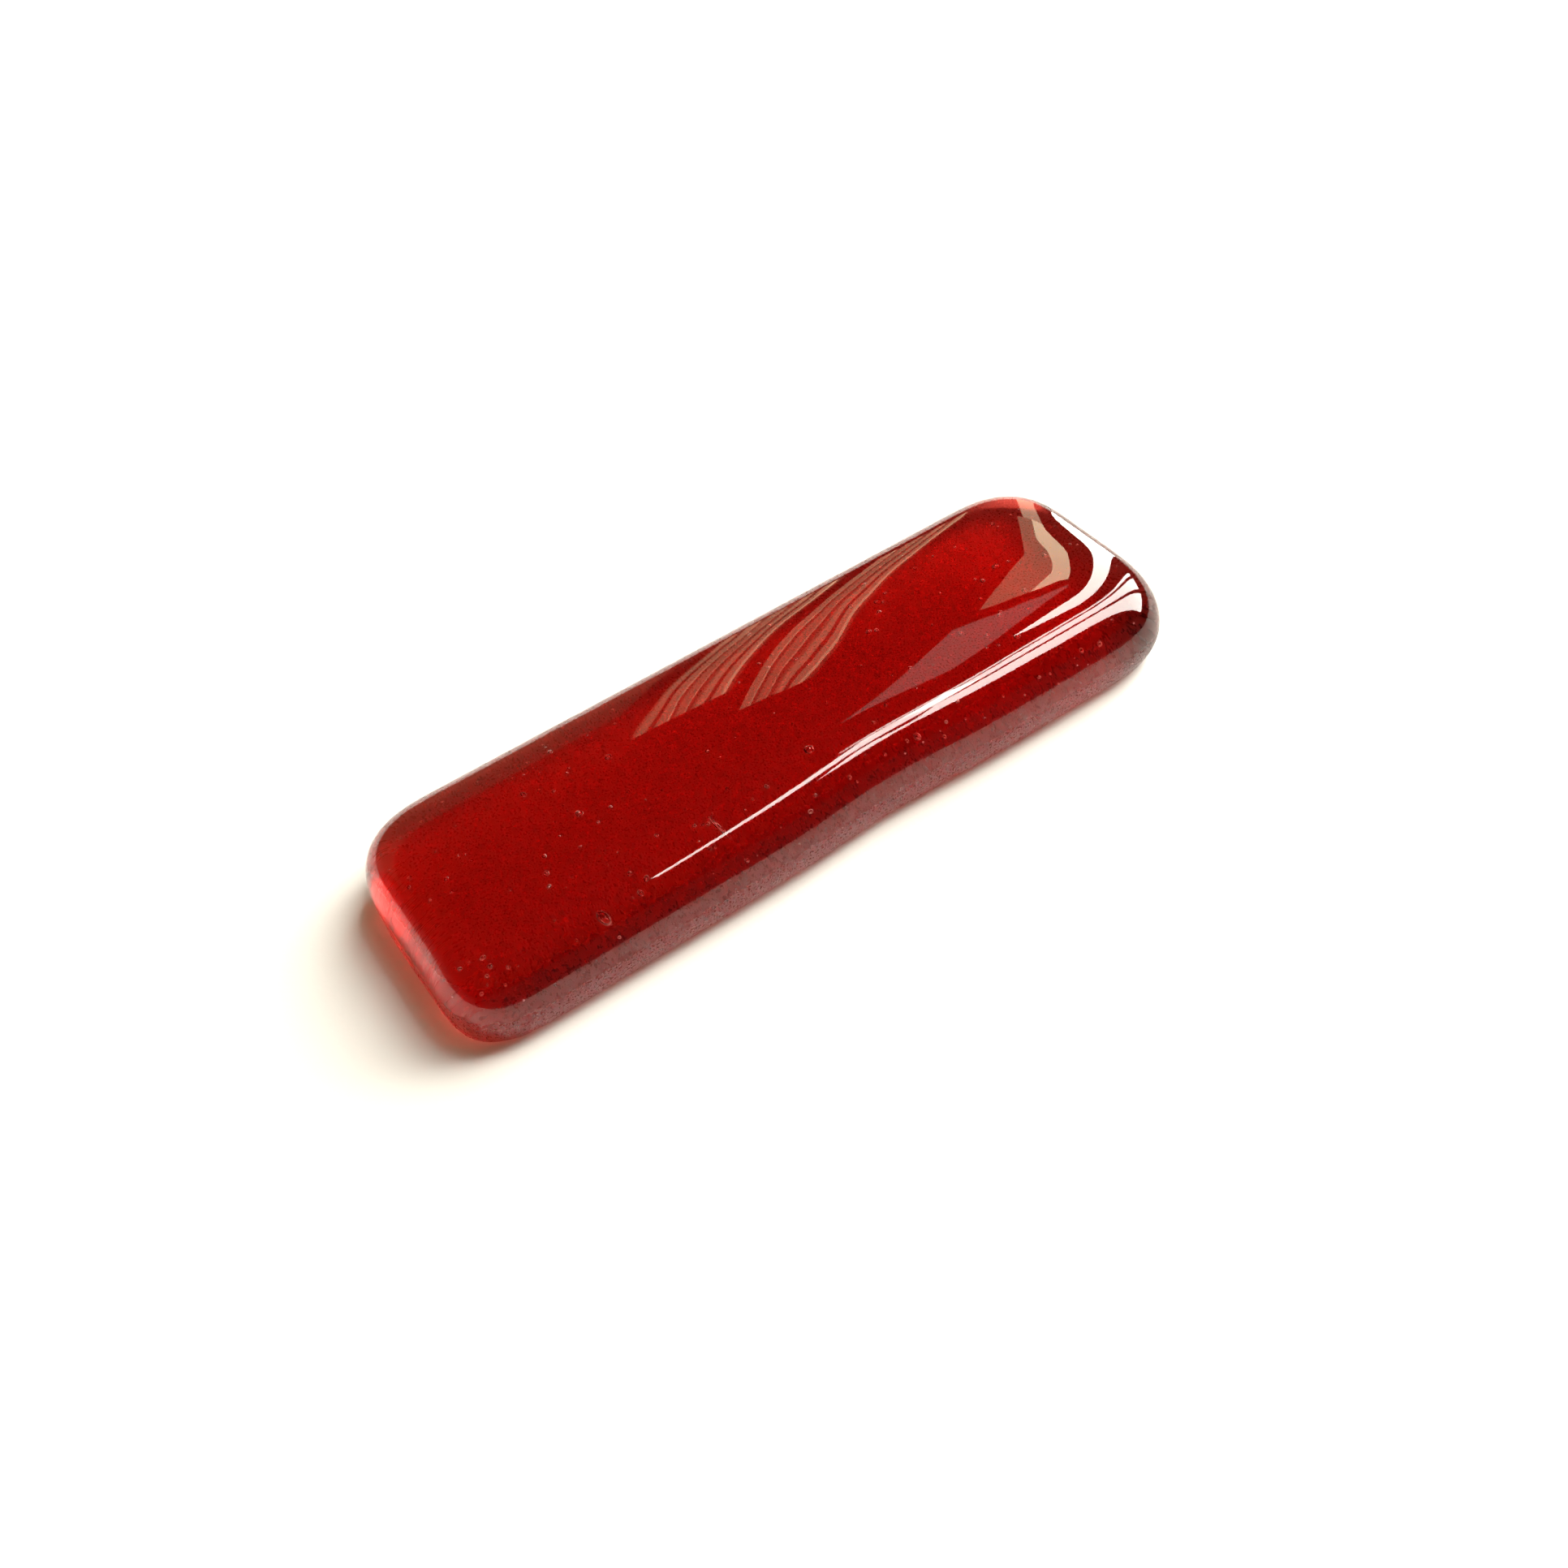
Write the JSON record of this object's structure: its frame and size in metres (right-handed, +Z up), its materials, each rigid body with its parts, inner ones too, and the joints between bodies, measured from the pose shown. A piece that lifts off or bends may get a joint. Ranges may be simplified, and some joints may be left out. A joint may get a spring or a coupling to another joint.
{
  "type": "fused glass bar",
  "caption": "Small solid bar of clear red glass, melted smooth in a kiln: rounded top, ends and corners, flat base, tiny trapped bubbles.",
  "frame": {"origin": "centre of the flat base", "axes": "+X along the bar's length, +Y across it, +Z up from the base"},
  "size_m": [0.056, 0.0192, 0.0062],
  "materials": {
    "red_glass": "clear deep red glass, fire-polished on top and round the sides, matt with kiln-shelf texture underneath"
  },
  "bodies": {
    "root": {"glass_bar": "red_glass"}
  },
  "joints": []
}
